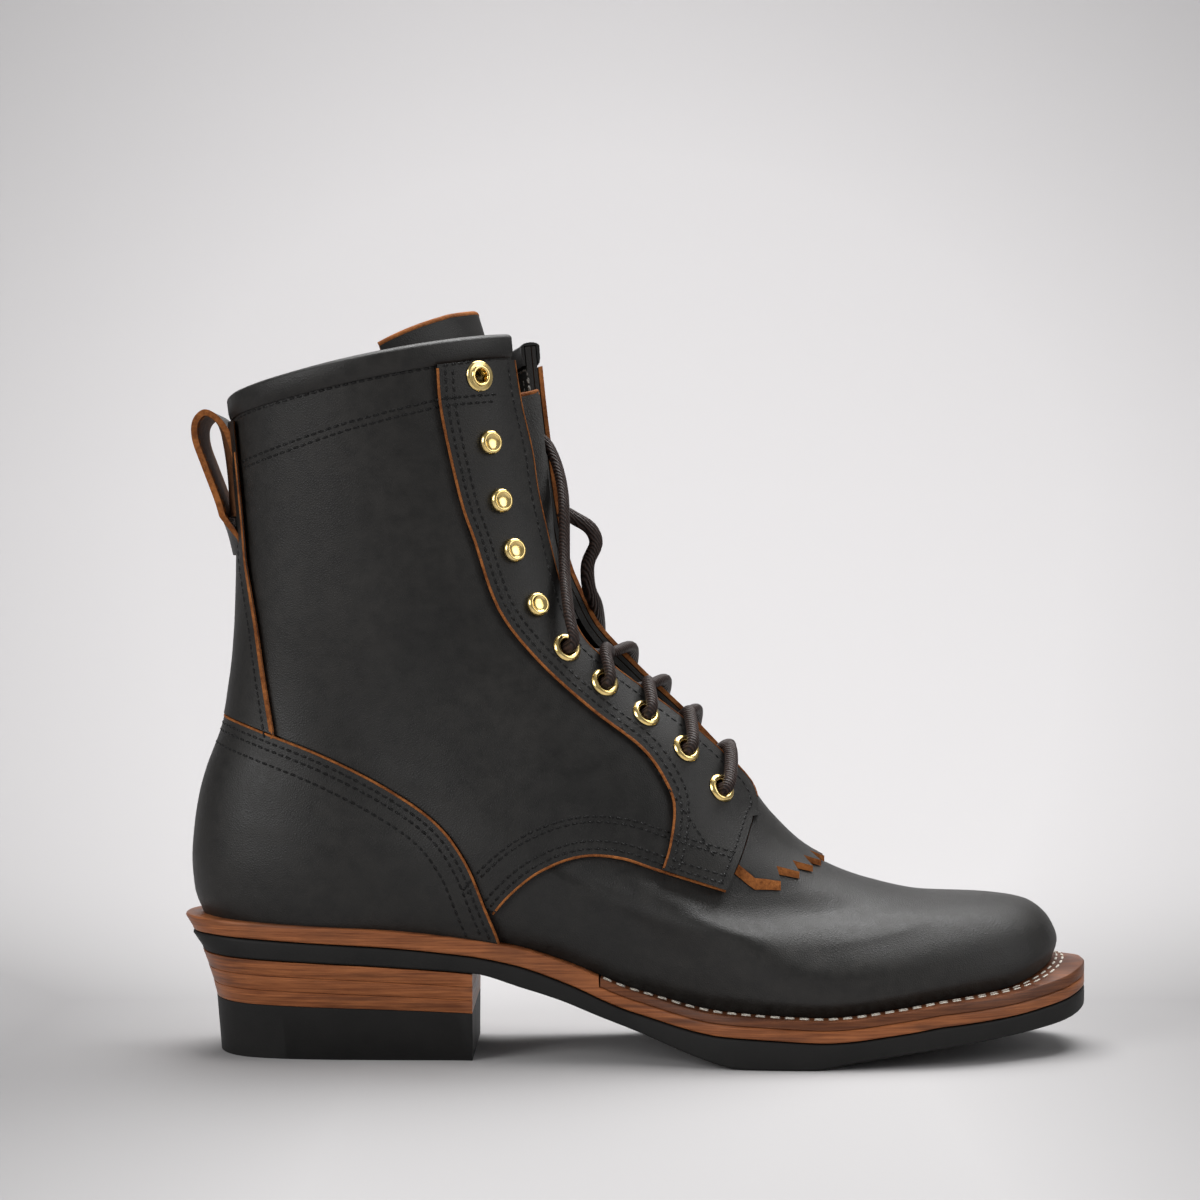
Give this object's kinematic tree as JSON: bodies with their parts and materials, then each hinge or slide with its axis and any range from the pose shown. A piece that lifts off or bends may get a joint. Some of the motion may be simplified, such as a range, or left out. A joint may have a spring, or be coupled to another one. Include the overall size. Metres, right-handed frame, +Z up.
{
  "type": "packer boot",
  "caption": "Tall lace-up leather packer boot with a saw-tooth kiltie, brass eyelets and hooks, heel counter, pull loop, stacked leather heel and grooved rubber sole.",
  "frame": {"origin": "on the floor, under the middle of the boot's box", "axes": "+X towards the toe, +Y towards the wearer's left (the inner side of this right boot), +Z up"},
  "size_m": [0.3094, 0.1044, 0.2524],
  "materials": {
    "upper_leather": "semi-matte charcoal leather",
    "brown_leather": "reddish brown sole leather",
    "lining_leather": "dark matte lining",
    "rubber": "matte black",
    "brass": "bright",
    "lace": "waxed dark brown cord"
  },
  "bodies": {
    "root": {"upper": "upper_leather", "quarter_lateral": "upper_leather", "quarter_medial": "upper_leather", "eyestay_lateral": "upper_leather", "eyestay_medial": "upper_leather", "heel_counter": "upper_leather", "backstay": "upper_leather", "collar_binding": "upper_leather", "kiltie": "upper_leather", "tongue": "upper_leather", "gusset_lateral": "upper_leather", "gusset_medial": "upper_leather", "pull_loop": "brown_leather", "insole": "lining_leather", "welt": "brown_leather", "midsole": "brown_leather", "heel_lift_1": "brown_leather", "heel_lift_2": "brown_leather", "heel_lift_3": "brown_leather", "heel_cap": "rubber", "outsole": "rubber", "eyelet_lateral_1": "brass", "eyelet_lateral_2": "brass", "eyelet_lateral_3": "brass", "eyelet_lateral_4": "brass", "eyelet_lateral_5": "brass", "eyelet_lateral_6": "brass", "eyelet_medial_1": "brass", "eyelet_medial_2": "brass", "eyelet_medial_3": "brass", "eyelet_medial_4": "brass", "eyelet_medial_5": "brass", "eyelet_medial_6": "brass", "hook_lateral_1": "brass", "hook_lateral_2": "brass", "hook_lateral_3": "brass", "hook_lateral_4": "brass", "hook_medial_1": "brass", "hook_medial_2": "brass", "hook_medial_3": "brass", "hook_medial_4": "brass", "lace_crossing_1": "lace", "lace_crossing_2": "lace", "lace_crossing_3": "lace", "lace_crossing_4": "lace", "lace_end_lateral": "lace", "lace_end_medial": "lace"}
  },
  "joints": []
}
